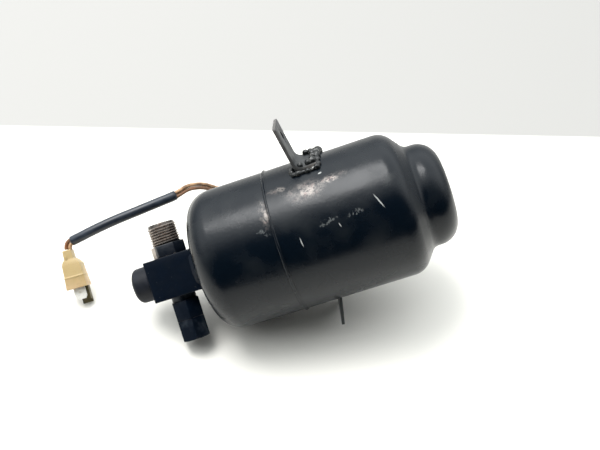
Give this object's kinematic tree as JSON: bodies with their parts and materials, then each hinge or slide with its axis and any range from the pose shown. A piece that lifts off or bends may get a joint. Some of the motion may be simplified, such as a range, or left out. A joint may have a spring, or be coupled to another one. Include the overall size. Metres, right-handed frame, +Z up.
{
  "type": "receiver drier",
  "caption": "Welded canister with a necked base, header block with opposed ports, capped sight glass, flange brackets and a pressure switch on a short two-wire lead",
  "frame": {"origin": "on the surface that the part lies on, under the middle of its box without the lead", "axes": "+Z up from that surface, +X along the canister's length as seen from above, towards the necked base; the canister is stored lying as it rests by itself, base end raised by 15.7 degrees"},
  "size_m": [0.2147, 0.1108, 0.1066],
  "materials": {
    "black_paint": "satin",
    "matte_black": "matte",
    "bare_steel": "satin",
    "plated_steel": "satin",
    "aluminium_tube": "satin",
    "seal_rubber": "matte",
    "copper_seal": "satin",
    "lens": "gloss",
    "brass": "satin",
    "cap_rubber": "matte",
    "boot_rubber": "matte",
    "felt": "matte",
    "beads": "matte",
    "phenolic": "satin",
    "white_nylon": "satin",
    "tan_wire": "satin",
    "brown_wire": "satin",
    "sleeve_vinyl": "gloss",
    "cream_nylon": "satin",
    "tinned_blade": "satin"
  },
  "bodies": {
    "drier": {"front_shell": "black_paint", "rear_shell": "black_paint", "girth_weld": "black_paint", "upper_bracket": "black_paint", "lower_bracket": "black_paint", "upper_bracket_weld": "black_paint", "lower_bracket_weld": "black_paint", "header_block": "matte_black", "header_weld": "matte_black", "inlet_union": "bare_steel", "inlet_oring": "seal_rubber", "outlet_union": "matte_black", "outlet_oring": "seal_rubber", "sight_glass": "lens", "sight_glass_seal": "seal_rubber", "sight_glass_retainer": "brass", "pickup_tube": "aluminium_tube", "pickup_screen": "plated_steel", "front_plate": "plated_steel", "front_felt": "felt", "desiccant_bed": "beads", "rear_felt": "felt", "pack_spring": "plated_steel", "switch_boss": "black_paint", "switch_boss_weld": "black_paint", "switch_body": "plated_steel", "switch_oring": "seal_rubber", "switch_diaphragm": "plated_steel", "switch_guide": "phenolic", "switch_spring": "plated_steel", "switch_terminals": "brass", "switch_base": "phenolic", "switch_boot": "boot_rubber", "wire_a": "tan_wire", "wire_b": "brown_wire", "lead_sleeve": "sleeve_vinyl", "plug_housing": "cream_nylon", "blade_front": "tinned_blade", "blade_rear": "tinned_blade"},
    "sight_cap": {"sight_cap": "cap_rubber"},
    "outlet_seal": {"outlet_seal": "copper_seal"},
    "outlet_cap_nut": {"outlet_cap_nut": "matte_black"},
    "rear_plate": {"rear_plate": "plated_steel"},
    "switch_plunger": {"switch_plunger": "white_nylon", "switch_contact": "brass"}
  },
  "joints": [
    {"name": "sight_cap_pull", "type": "slide", "parent": "drier", "child": "sight_cap", "axis": [-0.9625, 0, -0.2713], "range_m": [0, 0.02]},
    {"name": "outlet_nut_travel", "type": "slide", "parent": "drier", "child": "outlet_seal", "axis": [0.1726, -0.7716, -0.6122], "range_m": [0, 0.0102]},
    {"name": "outlet_nut_turn", "type": "hinge", "parent": "outlet_seal", "child": "outlet_cap_nut", "pos_m": [-0.05746, -0.03915, 0.01054], "axis": [0.1726, -0.7716, -0.6122], "range_deg": [0, 2880]},
    {"name": "rear_plate_travel", "type": "slide", "parent": "drier", "child": "rear_plate", "axis": [0.9625, 0, 0.2713], "range_m": [0, 0.004], "stiffness_N_per_m": 2500, "springref_m": -0.012, "deforming": ["pack_spring"]},
    {"name": "switch_plunger_travel", "type": "slide", "parent": "drier", "child": "switch_plunger", "axis": [0.121, 0.8949, -0.4295], "range_m": [0, 0.0005], "stiffness_N_per_m": 3000, "springref_m": -0.0005, "deforming": ["switch_spring"]}
  ],
  "couplings": [
    {"joint": "outlet_nut_travel", "follows": "outlet_nut_turn", "m_per_rad": 0.00020213}
  ]
}
